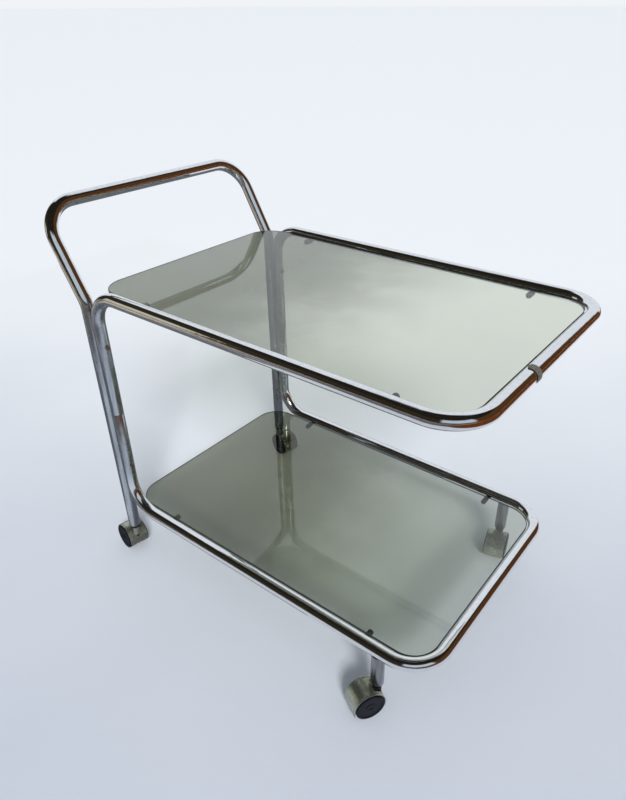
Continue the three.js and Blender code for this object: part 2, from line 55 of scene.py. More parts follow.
class Paint:
    """One socket of a finish. Arithmetic on it adds Math nodes, and node() adds any other node."""

    def __init__(self, tree, socket=None):
        self.tree = tree
        self.socket = socket

    def node(self, kind, settings=None, sockets=None, out=0):
        made = self.tree.nodes.new("ShaderNode" + kind)
        for name, value in (settings or {}).items():
            if name == "stops":
                ramp = made.color_ramp
                while len(ramp.elements) < len(value):
                    ramp.elements.new(1.0)
                for element, (place, colour) in zip(ramp.elements, value):
                    element.position = place
                    element.color = colour
            else:
                setattr(made, name, value)
        for name, value in (sockets or {}).items():
            if isinstance(value, Paint):
                self.tree.links.new(value.socket, made.inputs[name])
            else:
                made.inputs[name].default_value = value
        return Paint(self.tree, made.outputs[out])

    def math(self, operation, a, b=0.0):
        return self.node("Math", {"operation": operation}, {0: a, 1: b})

    def __add__(self, other):
        return self.math("ADD", self, other)

    def __sub__(self, other):
        return self.math("SUBTRACT", self, other)

    def __mul__(self, other):
        return self.math("MULTIPLY", self, other)

    def __truediv__(self, other):
        return self.math("DIVIDE", self, other)

    def __rsub__(self, other):
        return self.math("SUBTRACT", other, self)

    __radd__ = __add__
    __rmul__ = __mul__

    def between(self, low, high):
        return self.node(
            "MapRange",
            {"interpolation_type": "SMOOTHSTEP"},
            {"Value": self, "From Min": low, "From Max": high},
        )

    def blend(self, low, high):
        """A colour that goes from low to high as this value goes from 0 to 1."""
        return self.node("Mix", {"data_type": "RGBA"}, {0: self, 6: low, 7: high}, out=2)

    def cloud(self, scale, detail=2.0, place=None):
        where = place or self.node("TexCoord", out=3)
        return self.node("TexNoise", None, {"Vector": where, "Scale": scale, "Detail": detail})


def new_finish(name):
    """A new material with a bare node tree; returns it and a Paint to draw with."""
    finish = bpy.data.materials.new(name)
    finish.use_nodes = True
    finish.node_tree.nodes.clear()
    return finish, Paint(finish.node_tree)


def show(paint, surface):
    output = paint.tree.nodes.new("ShaderNodeOutputMaterial")
    paint.tree.links.new(surface.socket, output.inputs["Surface"])


def bumped(paint, height, depth, strength=1.0, under=None):
    sockets = {"Height": height, "Distance": depth, "Strength": strength}
    if under is not None:
        sockets["Normal"] = under
    return paint.node("Bump", None, sockets)


def height_above_floor(paint):
    where = paint.node("TexCoord", out=3)
    return paint.node("SeparateXYZ", None, {0: where}, out=2)


GREY_LOW = (0.42, 0.45, 0.485, 1.0)
GREY_HIGH = (0.60, 0.635, 0.67, 1.0)


def streak_cloud(p):
    """Wear drawn out along the height of a leg."""
    where = p.node("TexCoord", out=3)
    drawn = p.node("Mapping", None, {"Vector": where, "Scale": (1.0, 1.0, 0.12)})
    return p.cloud(170.0, 3.0, drawn)


def chrome_plate(name, dull_from, dull_to, shiny_x=None, grey_low=GREY_LOW, grey_high=GREY_HIGH):
    """Polished chrome, duller where the height goes from dull_from to dull_to behind shiny_x."""
    finish, p = new_finish(name)
    dull = height_above_floor(p).between(dull_from, dull_to)
    if shiny_x is not None:
        where = p.node("TexCoord", out=3)
        along = p.node("SeparateXYZ", None, {0: where}, out=0)
        dull = dull * (1.0 - along.between(shiny_x, shiny_x + 0.04))
    smears = p.cloud(22.0, 5.0).between(0.35, 0.75)
    pits = p.cloud(1500.0, 2.0).between(0.66, 0.74) * p.cloud(45.0, 3.0).between(0.4, 0.62)
    haze = p.cloud(160.0, 4.0).between(0.3, 0.8)
    bright = haze.blend((0.86, 0.865, 0.87, 1.0), (0.78, 0.785, 0.80, 1.0))
    streaks = streak_cloud(p).between(0.3, 0.72)
    grey = streaks.blend(grey_low, grey_high)
    worn = dull.blend(bright, grey)
    colour = pits.blend(worn, (0.23, 0.21, 0.19, 1.0))
    rough = 0.045 + smears * 0.05 + dull * (0.16 + smears * 0.10) + pits * 0.35
    wave = p.cloud(55.0, 1.0)
    soft = bumped(p, wave, 0.00022)
    normal = bumped(p, p.cloud(700.0, 3.0), 0.00001, 1.0, soft)
    metal = p.node(
        "BsdfPrincipled",
        None,
        {"Base Color": colour, "Roughness": rough, "Metallic": 1.0, "Normal": normal},
    )
    show(p, metal)
    return finish


def ring_matrix(place, heading):
    turn = heading.to_track_quat("Z", "Y").to_matrix().to_4x4()
    return Matrix.Translation(place) @ turn


def push_ring(shell, ring, move):
    """Extrudes a ring or row of edges by move; returns the new edges."""
    out = bmesh.ops.extrude_edge_only(shell, edges=ring)["geom"]
    bmesh.ops.translate(shell, verts=[g for g in out if isinstance(g, bmesh.types.BMVert)], vec=move)
    return [g for g in out if isinstance(g, bmesh.types.BMEdge)]


def draw_skin(shell, corners, bend_radii, radius, sides=48, steps_per_turn=60):
    """Draws a ring of edges along straight runs and round bends; returns its two end rings."""
    points = [Vector(c) for c in corners]
    heading = (points[1] - points[0]).normalized()
    made = bmesh.ops.create_circle(
        shell, segments=sides, radius=radius, matrix=ring_matrix(points[0], heading)
    )
    ring = list({e for v in made["verts"] for e in v.link_edges})
    first = list(ring)
    place = points[0]
    for i, bend_radius in enumerate(bend_radii):
        after = (points[i + 2] - points[i + 1]).normalized()
        angle = heading.angle(after)
        start = points[i + 1] - heading * bend_radius * math.tan(angle / 2)
        ring = push_ring(shell, ring, start - place)
        axis = heading.cross(after).normalized()
        centre = start + axis.cross(heading) * bend_radius
        spun = bmesh.ops.spin(
            shell,
            geom=ring,
            cent=centre,
            axis=axis,
            angle=angle,
            steps=math.ceil(steps_per_turn * angle / (2 * math.pi)),
            space=Matrix.Identity(4),
        )
        ring = [g for g in spun["geom_last"] if isinstance(g, bmesh.types.BMEdge)]
        turn = Matrix.Rotation(angle, 3, axis)
        place = centre + turn @ (start - centre)
        heading = after
    ring = push_ring(shell, ring, points[-1] - place)
    return first, ring


def finish_piece(shell, name, finishes, cad_nodes, body, sharp_deg=35.0):
    """Turns a bmesh into a piece that rides on its body and stands for its CAD nodes."""
    bmesh.ops.remove_doubles(shell, verts=shell.verts, dist=1e-7)
    bmesh.ops.recalc_face_normals(shell, faces=shell.faces)
    for face in shell.faces:
        face.smooth = True
    for edge in shell.edges:
        flat_side = any(len(f.verts) > 8 for f in edge.link_faces)
        edge.smooth = not flat_side and edge.calc_face_angle(0.0) < math.radians(sharp_deg)
    mesh = bpy.data.meshes.new(name)
    shell.to_mesh(mesh)
    shell.free()
    for finish in finishes:
        mesh.materials.append(finish)
    piece = bpy.data.objects.new(name, mesh)
    bpy.context.scene.collection.objects.link(piece)
    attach(piece, body)
    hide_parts(*cad_nodes)
    return piece


def soften(shell, edges, offset, segments=3):
    bmesh.ops.bevel(
        shell, geom=edges, affect="EDGES", offset=offset, segments=segments, profile=0.5, material=-1
    )


def bent_tube(corners, bend_radii, radius, wall):
    """A hollow tube with clean cut, slightly broken ends."""
    end_break = 0.0004
    shell = bmesh.new()
    outer_first, outer_last = draw_skin(shell, corners, bend_radii, radius)
    inner_first, inner_last = draw_skin(shell, corners, bend_radii, radius - wall)
    for outer, inner in ((outer_first, inner_first), (outer_last, inner_last)):
        bmesh.ops.bridge_loops(shell, edges=outer + inner)
        soften(shell, outer, end_break, 2)
    return shell


handle_low, handle_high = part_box("handle_and_rear_legs")
upper_low, upper_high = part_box("upper_shelf_frame")
lower_low, lower_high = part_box("lower_shelf_frame")
tube_radius = 0.011
tube_wall = 0.0015
upright_x = upper_low.x + tube_radius
rail_z = upper_high.z - tube_radius
low_rail_z = lower_low.z + tube_radius
right_y = upper_low.y + tube_radius
left_y = upper_high.y - tube_radius
leg_x = handle_high.x - tube_radius
handle_x = handle_low.x + tube_radius
handle_z = handle_high.z - tube_radius
handle_bend_z = rail_z - 0.025
handle_bend = 0.045
handle_corner = 0.060

chrome_handle = chrome_plate("chrome_handle", 0.58, 0.50)
shell = bent_tube(
    [
        (leg_x, right_y, handle_low.z),
        (leg_x, right_y, handle_bend_z),
        (handle_x, right_y, handle_z),
        (handle_x, left_y, handle_z),
        (leg_x, left_y, handle_bend_z),
        (leg_x, left_y, handle_low.z),
    ],
    [handle_bend, handle_corner, handle_corner, handle_bend],
    tube_radius,
    tube_wall,
)
finish_piece(
    shell, "handle_tube", [chrome_handle], ["handle_and_rear_legs"], "cart_frame"
)

# ---------------------------------------------------------------------------------------------
# Shelf frames: two lengths of the same tube, each bent to a U round its glass, with the rear ends
# turned down or up as uprights that meet in a fine seam. The rails are bright, the uprights duller.
# ---------------------------------------------------------------------------------------------
upper_bar_x = upper_high.x - tube_radius
lower_bar_x = lower_high.x - tube_radius
upright_bend = 0.057
upper_corner = 0.060
lower_corner = 0.063


def frame_corners(bar_x, z, end_z):
    return [
        (upright_x, right_y, end_z),
        (upright_x, right_y, z),
        (bar_x, right_y, z),
        (bar_x, left_y, z),
        (upright_x, left_y, z),
        (upright_x, left_y, end_z),
    ]


shell = bent_tube(
    frame_corners(upper_bar_x, rail_z, upper_low.z),
    [upright_bend, upper_corner, upper_corner, upright_bend],
    tube_radius,
    tube_wall,
)
chrome_upper = chrome_plate("chrome_upper_frame", 0.585, 0.555, upright_x + 0.025)
finish_piece(
    shell, "upper_frame_tube", [chrome_upper], ["upper_shelf_frame"], "cart_frame"
)

shell = bent_tube(
    frame_corners(lower_bar_x, low_rail_z, lower_high.z),
    [upright_bend, lower_corner, lower_corner, upright_bend],
    tube_radius,
    tube_wall,
)
chrome_lower = chrome_plate("chrome_lower_frame", 0.17, 0.22)
finish_piece(
    shell, "lower_frame_tube", [chrome_lower], ["lower_shelf_frame"], "cart_frame"
)

# ---------------------------------------------------------------------------------------------
# Joining sleeves and threaded inserts: turned steel parts hidden in the tubes, plugged into the
# upright seams and pressed into the rear legs. Their solids are right, and get a turned finish.
# ---------------------------------------------------------------------------------------------


def turned_steel(name, bright, dark, roughness):
    """Lathe-turned steel: fine rings of tool marks and a little tarnish."""
    finish, p = new_finish(name)
    where = p.node("TexCoord", out=3)
    rings = p.node(
        "TexWave",
        {"wave_type": "BANDS", "bands_direction": "DIAGONAL"},
        {"Vector": where, "Scale": 900.0, "Distortion": 2.0, "Detail": 2.0},
        out=1,
    )
    tarnish = p.cloud(130.0, 5.0).between(0.35, 0.7)
    colour = tarnish.blend(bright, dark)
    metal = p.node(
        "BsdfPrincipled",
        None,
        {
            "Base Color": colour,
            "Metallic": 1.0,
            "Roughness": roughness + tarnish * 0.15 + rings * 0.05,
            "Normal": bumped(p, rings, 0.00003, 0.5),
        },
    )
    show(p, metal)
    return finish


def carry_over(node, finish):
    """A CAD solid that shows as it is, with this finish."""
    solid = frame["nodes"][node]
    solid.data.materials.clear()
    solid.data.materials.append(finish)


plain_steel = turned_steel("plain_steel", (0.50, 0.50, 0.51, 1.0), (0.30, 0.28, 0.26, 1.0), 0.32)
zinc_steel = turned_steel("zinc_steel", (0.72, 0.73, 0.72, 1.0), (0.50, 0.49, 0.45, 1.0), 0.25)
for side in ("right", "left"):
    carry_over(f"{side}_joining_sleeve", plain_steel)
    for level in ("upper", "lower"):
        carry_over(f"{side}_{level}_threaded_insert", plain_steel)

# ---------------------------------------------------------------------------------------------
# Front legs: two stubs of the same tube welded under the lower rails. The foot of each one is
# rolled in round a black plug. They have lost most of their shine.
# ---------------------------------------------------------------------------------------------
into_rail = 0.005
foot_roll = 0.0042
foot_lip = 0.0004
foot_depth = 0.012
leg_grey_low = (0.20, 0.205, 0.21, 1.0)
leg_grey_high = (0.31, 0.32, 0.33, 1.0)
chrome_leg = chrome_plate(
    "chrome_front_legs", 0.15, 0.125, grey_low=leg_grey_low, grey_high=leg_grey_high
)


def near(value, target, tolerance=1e-5):
    return abs(value - target) < tolerance


def faces_at(shell, z):
    """The flat faces that lie at this height."""
    return [f for f in shell.faces if all(near(v.co.z, z) for v in f.verts)]


def rim_of(faces):
    inside = set(faces)
    return [e for f in faces for e in f.edges if len(inside.intersection(e.link_faces)) == 1]


def solid_round(radius, low, high, sides=48):
    """A closed round bar along Z."""
    shell = bmesh.new()
    bmesh.ops.create_cone(
        shell,
        cap_ends=True,
        segments=sides,
        radius1=radius,
        radius2=radius,
        depth=high - low,
        matrix=Matrix.Translation((0.0, 0.0, (low + high) / 2)),
    )
    return shell


def sink(shell, faces, rim, depth):
    """Insets faces by rim and moves the middle by depth along Z; returns the middle."""
    bmesh.ops.inset_region(shell, faces=faces, thickness=rim, use_even_offset=True)
    out = bmesh.ops.extrude_face_region(shell, geom=faces, use_keep_orig=False)["geom"]
    moved = [g for g in out if isinstance(g, bmesh.types.BMVert)]
    bmesh.ops.translate(shell, verts=moved, vec=(0.0, 0.0, depth))
    bmesh.ops.delete(shell, geom=[f for f in faces if f.is_valid], context="FACES_ONLY")
    return [g for g in out if isinstance(g, bmesh.types.BMFace)]


for side in ("right", "left"):
    low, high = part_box(f"{side}_front_leg")
    leg_axis = Vector(((low.x + high.x) / 2, (low.y + high.y) / 2, 0.0))
    shell = solid_round(tube_radius, low.z, low_rail_z - tube_radius + into_rail)
    soften(shell, rim_of(faces_at(shell, low.z)), foot_roll, 6)
    sink(shell, faces_at(shell, low.z), foot_lip, foot_depth)
    bmesh.ops.translate(shell, verts=shell.verts, vec=leg_axis)
    finish_piece(
        shell,
        f"{side}_front_stub_leg",
        [chrome_leg],
        [f"{side}_front_leg"],
        "cart_frame",
    )

# ---------------------------------------------------------------------------------------------
# Frame screws: four slotted pan-head screws that pull the uprights against the rear legs. Old
# zinc, gone dark and brown round the head and in the slot.
# ---------------------------------------------------------------------------------------------


def old_screw_metal():
    finish, p = new_finish("old_screw_metal")
    stain = p.cloud(650.0, 4.0).between(0.4, 0.65)
    colour = stain.blend((0.32, 0.27, 0.22, 1.0), (0.10, 0.065, 0.045, 1.0))
    metal = p.node(
        "BsdfPrincipled",
        None,
        {
            "Base Color": colour,
            "Metallic": 0.85,
            "Roughness": 0.3 + stain * 0.3,
            "Normal": bumped(p, p.cloud(900.0, 3.0), 0.00008),
        },
    )
    show(p, metal)
    return finish


screw_metal = old_screw_metal()
shank_radius = 0.002
head_height = 0.0022
head_dome = 0.0013
driver_slot_half = 0.00045
driver_slot_depth = 0.0009
slot_turns = {
    "right_upper": 25.0,
    "right_lower": -40.0,
    "left_upper": 65.0,
    "left_lower": 65.0,
}
for corner, slot_turn in slot_turns.items():
    node = f"{corner}_frame_screw"
    low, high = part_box(node)
    head_radius = (high.z - low.z) / 2
    head_foot = high.x - head_height
    shell = solid_round(head_radius, head_foot, high.x, 32)
    soften(shell, rim_of(faces_at(shell, high.x)), head_dome, 4)
    for edge_x in (-driver_slot_half, driver_slot_half):
        bmesh.ops.bisect_plane(
            shell,
            geom=shell.verts[:] + shell.edges[:] + shell.faces[:],
            plane_co=(edge_x, 0.0, 0.0),
            plane_no=(1.0, 0.0, 0.0),
        )
    top = faces_at(shell, high.x)
    strip = [f for f in top if abs(f.calc_center_median().x) < driver_slot_half]
    sink(shell, strip, 0.00001, -driver_slot_depth)
    shell.normal_update()
    sink(shell, faces_at(shell, head_foot), head_radius - shank_radius, low.x - head_foot)
    bmesh.ops.rotate(
        shell, verts=shell.verts, matrix=Matrix.Rotation(math.radians(slot_turn), 3, "Z")
    )
    bmesh.ops.rotate(shell, verts=shell.verts, matrix=Matrix.Rotation(math.pi / 2, 3, "Y"))
    bmesh.ops.translate(
        shell, verts=shell.verts, vec=(0.0, (low.y + high.y) / 2, (low.z + high.z) / 2)
    )
    finish_piece(
        shell, f"{corner}_slotted_screw", [screw_metal], [node], "cart_frame"
    )

# ---------------------------------------------------------------------------------------------
# Glass shelves: 5 mm smoked float glass with rounded corners and ground, polished edges. They
# lie loose on the rubber supports, a little above the middle of the rails. Painted shade darkens
# their tint toward the handle end.
# ---------------------------------------------------------------------------------------------


def smoked_glass(name, painted_shade_tint, pale):
    """Smoked glass with painted shade: the tint goes from the pale one in front to a darker one at
    the handle end, which stands for shade seen through the glass there.
    """
    painted_shade_until_x, pale_from_x = -0.10, 0.26
    finish, p = new_finish(name)
    film = p.cloud(9.0, 5.0).between(0.35, 0.75)
    dust = p.cloud(1100.0, 2.0).between(0.68, 0.76) * p.cloud(14.0, 3.0).between(0.4, 0.7)
    where = p.node("TexCoord", out=3)
    along = p.node("SeparateXYZ", None, {0: where}, out=0)
    # Painted shade: the tint darkens toward the handle end, standing for shade seen through the
    # glass.
    clear_of_painted_shade = (along + film * 0.05).between(painted_shade_until_x, pale_from_x)
    tint_with_painted_shade = clear_of_painted_shade.blend(painted_shade_tint, pale)
    glass = p.node(
        "BsdfPrincipled",
        None,
        {
            "Base Color": tint_with_painted_shade,
            "Roughness": film * 0.018 + dust * 0.25,
            "IOR": 1.5,
            "Transmission Weight": 1.0,
        },
    )
    clear = p.node("BsdfTransparent", None, {"Color": (0.63, 0.64, 0.58, 1.0)})
    lamp_rays = p.node("LightPath", out=1)
    surface = p.node("MixShader", None, {0: lamp_rays, 1: glass, 2: clear})
    show(p, surface)
    return finish


def glass_edge():
    finish, p = new_finish("glass_edge")
    ground = p.cloud(600.0, 3.0).between(0.3, 0.7)
    edge = p.node(
        "BsdfPrincipled",
        None,
        {
            "Base Color": ground.blend((0.020, 0.026, 0.020, 1.0), (0.045, 0.055, 0.042, 1.0)),
            "Roughness": 0.12 + ground * 0.12,
            "IOR": 1.5,
        },
    )
    show(p, edge)
    return finish


# The first tint of each glass is painted shade for its handle end; the second is the pale front.
glass_finish = {
    "upper": smoked_glass("upper_glass", (0.255, 0.268, 0.208, 1.0), (0.760, 0.780, 0.660, 1.0)),
    "lower": smoked_glass("lower_glass", (0.300, 0.314, 0.246, 1.0), (0.620, 0.648, 0.575, 1.0)),
}
edge_finish = glass_edge()
front_corner = 0.047
rear_corner = 0.049
glass_chamfer = 0.0015

for level in ("upper", "lower"):
    node = f"{level}_glass_shelf"
    low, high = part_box(node)
    shell = bmesh.new()
    bmesh.ops.create_grid(shell, x_segments=1, y_segments=1, size=0.5)
    bmesh.ops.scale(shell, verts=shell.verts, vec=(high.x - low.x, high.y - low.y, 1.0))
    bmesh.ops.translate(
        shell, verts=shell.verts, vec=((low.x + high.x) / 2, (low.y + high.y) / 2, low.z)
    )
    for edge_x, corner_radius in ((high.x, front_corner), (low.x, rear_corner)):
        corners = [v for v in shell.verts if near(v.co.x, edge_x) and v.is_boundary]
        corners = [v for v in corners if near(v.co.y, low.y) or near(v.co.y, high.y)]
        bmesh.ops.bevel(
            shell,
            geom=corners,
            affect="VERTICES",
            offset=corner_radius,
            segments=20,
            profile=0.5,
            material=-1,
        )
    lifted = bmesh.ops.extrude_face_region(shell, geom=shell.faces[:], use_keep_orig=True)["geom"]
    bmesh.ops.translate(
        shell,
        verts=[g for g in lifted if isinstance(g, bmesh.types.BMVert)],
        vec=(0.0, 0.0, high.z - low.z),
    )
    rims = rim_of(faces_at(shell, high.z)) + rim_of(faces_at(shell, low.z))
    soften(shell, rims, glass_chamfer)
    for face in shell.faces:
        face.material_index = 0 if abs(face.normal.z) > 0.999 else 1
    finish_piece(
        shell,
        f"{level}_glass_plate",
        [glass_finish[level], edge_finish],
        [node],
        "cart_frame",
    )

# ---------------------------------------------------------------------------------------------
# Glass supports: a steel stud welded to the inside of the rail, with a black rubber sleeve
# pushed over it for the glass to rest on. The sleeve has a rounded end and hides the stud's tip.
# ---------------------------------------------------------------------------------------------


def moulded_black(name, dark, grey, roughness, grain):
    """Black rubber or plastic with moulding grain and grey dust."""
    finish, p = new_finish(name)
    dust = p.cloud(240.0, 5.0).between(0.42, 0.75)
    rough = p.cloud(grain, 3.0)
    skin = p.node(
        "BsdfPrincipled",
        None,
        {
            "Base Color": dust.blend(dark, grey),
            "Roughness": roughness + dust * 0.2,
            "Specular IOR Level": 0.2,
            "Normal": bumped(p, rough, 0.00006),
        },
    )
    show(p, skin)
    return finish


sleeve_rubber = moulded_black(
    "sleeve_rubber", (0.003, 0.003, 0.003, 1.0), (0.016, 0.016, 0.015, 1.0), 0.55, 1300.0
)
stud_setback = 0.006
pushed_back = 0.0025
sleeve_length_saved = 0.005
sleeve_mouth_lip = 0.0011
supports = [
    f"{side}_{level}_{end}"
    for level in ("upper", "lower")
    for side in ("right", "left")
    for end in ("rear", "front")
]
for support in supports:
    inward = 1.0 if support.startswith("right") else -1.0
    low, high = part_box(f"{support}_glass_stud")
    centre = (low + high) / 2
    stud_radius = (high.x - low.x) / 2
    rail_end = low.y if inward > 0 else high.y
    stud_length = high.y - low.y - stud_setback
    shell = solid_round(stud_radius, 0.0, stud_length, 24)
    soften(shell, rim_of(faces_at(shell, stud_length)), 0.0006, 2)
    bmesh.ops.rotate(
        shell, verts=shell.verts, matrix=Matrix.Rotation(-inward * math.pi / 2, 3, "X")
    )
    bmesh.ops.translate(shell, verts=shell.verts, vec=(centre.x, rail_end, centre.z))
    finish_piece(
        shell, f"{support}_stud", [zinc_steel], [f"{support}_glass_stud"], "cart_frame"
    )
    low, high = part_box(f"{support}_rubber_sleeve")
    sleeve_radius = (high.x - low.x) / 2
    length = high.y - low.y - sleeve_length_saved + pushed_back
    shell = solid_round(sleeve_radius, 0.0, length, 32)
    soften(shell, rim_of(faces_at(shell, length)), 0.0022, 4)
    soften(shell, rim_of(faces_at(shell, 0.0)), 0.0008, 2)
    sink(shell, faces_at(shell, 0.0), sleeve_radius - stud_radius - sleeve_mouth_lip, 0.004)
    bmesh.ops.rotate(
        shell, verts=shell.verts, matrix=Matrix.Rotation(-inward * math.pi / 2, 3, "X")
    )
    mouth = low.y - pushed_back if inward > 0 else high.y + pushed_back
    bmesh.ops.translate(shell, verts=shell.verts, vec=((low.x + high.x) / 2, mouth, centre.z))
    finish_piece(
        shell,
        f"{support}_sleeve",
        [sleeve_rubber],
        [f"{support}_rubber_sleeve"],
        "cart_frame",
    )

# ---------------------------------------------------------------------------------------------
# Clip: a band of grey, slightly translucent plastic snapped over the upper front bar, with a
# short rounded tongue toward the edge of the glass. It is dusty and scuffed.
# ---------------------------------------------------------------------------------------------


def dusty_plastic():
    finish, p = new_finish("dusty_plastic")
    dust = p.cloud(320.0, 5.0).between(0.35, 0.7)
    skin = p.node(
        "BsdfPrincipled",
        None,
        {
            "Base Color": dust.blend((0.070, 0.062, 0.046, 1.0), (0.150, 0.142, 0.120, 1.0)),
            "Roughness": 0.35 + dust * 0.3,
            "Subsurface Weight": 0.15,
            "Subsurface Radius": (0.002, 0.002, 0.002),
            "Normal": bumped(p, p.cloud(800.0, 3.0), 0.0001),
        },
    )
    show(p, skin)
    return finish


clip_wall = 0.0013
clip_low, clip_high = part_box("front_bar_clip")
clip_outer = clip_high.x - upper_bar_x - 0.0002
shell = bmesh.new()
band_y = (clip_low.y, (clip_low.y + clip_high.y) / 2, clip_high.y)
start_deg = -28.0  # from level, in front of the bar, up and over toward the glass
end_deg = 104.0
reach = Matrix.Rotation(math.radians(-start_deg), 3, "Y") @ Vector((clip_outer, 0.0, 0.0))
row = [shell.verts.new((upper_bar_x + reach.x, y, rail_z + reach.z)) for y in band_y]
line = [shell.edges.new((row[0], row[1])), shell.edges.new((row[1], row[2]))]
spun = bmesh.ops.spin(
    shell,
    geom=line,
    cent=(upper_bar_x, 0.0, rail_z),
    axis=(0.0, 1.0, 0.0),
    angle=math.radians(start_deg - end_deg),
    steps=36,
    space=Matrix.Identity(4),
)
line = [g for g in spun["geom_last"] if isinstance(g, bmesh.types.BMEdge)]
tongue = push_ring(shell, line, Vector((-0.0030, 0.0, -0.0006)))
for v in {v for e in tongue for v in e.verts}:
    if not near(v.co.y, band_y[1], 1e-4):
        v.co.x += 0.0014
        v.co.y += (band_y[1] - v.co.y) * 0.3
clip = finish_piece(
    shell, "front_bar_band", [dusty_plastic()], ["front_bar_clip"], "cart_frame"
)
thick = clip.modifiers.new("thickness", "SOLIDIFY")
thick.thickness = clip_wall
thick.offset = -1.0
rounding = clip.modifiers.new("rounding", "BEVEL")
rounding.width = 0.0004
rounding.segments = 2

# ---------------------------------------------------------------------------------------------
# Casters: twin-wheel furniture casters. A pressed hood, tarnished to a greenish bronze, covers two
# hard black wheels. The front hoods are notched round the black swivel block; the rear ones are
# closed, under a tapered metal neck.
# ---------------------------------------------------------------------------------------------


def tarnished_hood():
    finish, p = new_finish("tarnished_hood")
    patina = p.cloud(75.0, 6.0).between(0.3, 0.75)
    specks = p.cloud(850.0, 3.0).between(0.62, 0.72)
    base = patina.blend((0.46, 0.48, 0.40, 1.0), (0.33, 0.345, 0.275, 1.0))
    colour = specks.blend(base, (0.14, 0.125, 0.09, 1.0))
    where = p.node("TexCoord", out=3)
    drawn = p.node("Mapping", None, {"Vector": where, "Scale": (1.0, 1.0, 6.0)})
    brush = p.node("TexNoise", None, {"Vector": drawn, "Scale": 420.0, "Detail": 3.0})
    metal = p.node(
        "BsdfPrincipled",
        None,
        {
            "Base Color": colour,
            "Metallic": 0.92,
            "Roughness": 0.24 + patina * 0.14 + specks * 0.2,
            "Normal": bumped(p, brush, 0.00003),
        },
    )
    show(p, metal)
    return finish


def wheel_black():
    finish, p = new_finish("wheel_black")
    scuff = p.cloud(190.0, 6.0).between(0.5, 0.8)
    skin = p.node(
        "BsdfPrincipled",
        None,
        {
            "Base Color": scuff.blend((0.003, 0.004, 0.007, 1.0), (0.012, 0.014, 0.019, 1.0)),
            "Roughness": 0.30 + scuff * 0.25,
            "Specular IOR Level": 0.12,
            "Normal": bumped(p, p.cloud(500.0, 4.0), 0.00008),
        },
    )
    show(p, skin)
    return finish


hood_finish = tarnished_hood()
wheel_finish = wheel_black()
block_finish = moulded_black(
    "swivel_black", (0.005, 0.005, 0.005, 1.0), (0.025, 0.024, 0.021, 1.0), 0.42, 900.0
)
wheel_radius = 0.0255
hood_radius = 0.0273
hood_half_width = 0.019
hood_skirt = 0.012
groove_depth = 0.0005
notch_half = 0.0115
hood_wall = 0.0012
stem_side_drop = 0.006
# The hood's arc, as start and end in degrees and steps; the notch is cut from the second stretch.
hood_arc = ((0.0, 114.0, 20), (114.0, 160.0, 8), (160.0, 186.3, 6))
notch_start = hood_arc[1][0]
web_half = 0.003
web_gap = 0.0001
web_foot_z = wheel_radius - 0.0095
block_foot_z = wheel_radius - 0.009
stem_radius = 0.004
stem_neck_radius = 0.0055
plug_radius = 0.0062
collar_radius = 0.009
collar_height = 0.0067
neck_foot_radius = 0.0092
neck_top_radius = 0.0060
wheel_inner_side = 0.007
wheel_outer_side = 0.021
hinges = {j["name"]: j for j in frame["joints"]}


def place_on_leg(shell, matrix):
    bmesh.ops.transform(shell, matrix=matrix, verts=shell.verts)


def hood_skin(trail, notched):
    """The hood's outer skin in the caster's own place: stem axis on Z, trailing along +X."""
    shell = bmesh.new()
    rows = [
        (-hood_half_width, 0.0),
        (-0.0166, 0.0),
        (-0.0162, groove_depth),
        (-0.0157, groove_depth),
        (-0.0153, 0.0),
        (-notch_half, 0.0),
        (notch_half, 0.0),
        (0.0153, 0.0),
        (0.0157, groove_depth),
        (0.0162, groove_depth),
        (0.0166, 0.0),
        (hood_half_width, 0.0),
    ]
    foot_z = wheel_radius - hood_skirt
    verts = [shell.verts.new((trail + hood_radius - sunk, y, foot_z)) for y, sunk in rows]
    line = [shell.edges.new(pair) for pair in zip(verts, verts[1:])]
    line = push_ring(shell, line, Vector((0.0, 0.0, hood_skirt)))
    cut = []
    for start, end, steps in hood_arc:
        known = set(shell.faces)
        spun = bmesh.ops.spin(
            shell,
            geom=line,
            cent=(trail, 0.0, wheel_radius),
            axis=(0.0, 1.0, 0.0),
            angle=math.radians(start - end),
            steps=steps,
            space=Matrix.Identity(4),
        )
        line = [g for g in spun["geom_last"] if isinstance(g, bmesh.types.BMEdge)]
        if start == notch_start:
            cut = [
                f
                for f in shell.faces
                if f not in known and abs(f.calc_center_median().y) < notch_half
            ]
    push_ring(shell, line, Vector((0.0, 0.0, -stem_side_drop)))
    if notched:
        bmesh.ops.delete(shell, geom=cut, context="FACES")
    return shell


def web_plate(trail):
    """The black web between the wheels, which carries the axle."""
    shell = solid_round(hood_radius - hood_wall - web_gap, -web_half, web_half, 64)
    bmesh.ops.rotate(shell, verts=shell.verts, matrix=Matrix.Rotation(math.pi / 2, 3, "X"))
    bmesh.ops.translate(shell, verts=shell.verts, vec=(trail, 0.0, wheel_radius))
    cut = bmesh.ops.bisect_plane(
        shell,
        geom=shell.verts[:] + shell.edges[:] + shell.faces[:],
        plane_co=(0.0, 0.0, web_foot_z),
        plane_no=(0.0, 0.0, -1.0),
        clear_outer=True,
    )
    rim = [g for g in cut["geom_cut"] if isinstance(g, bmesh.types.BMEdge)]
    bmesh.ops.contextual_create(shell, geom=rim)
    return shell


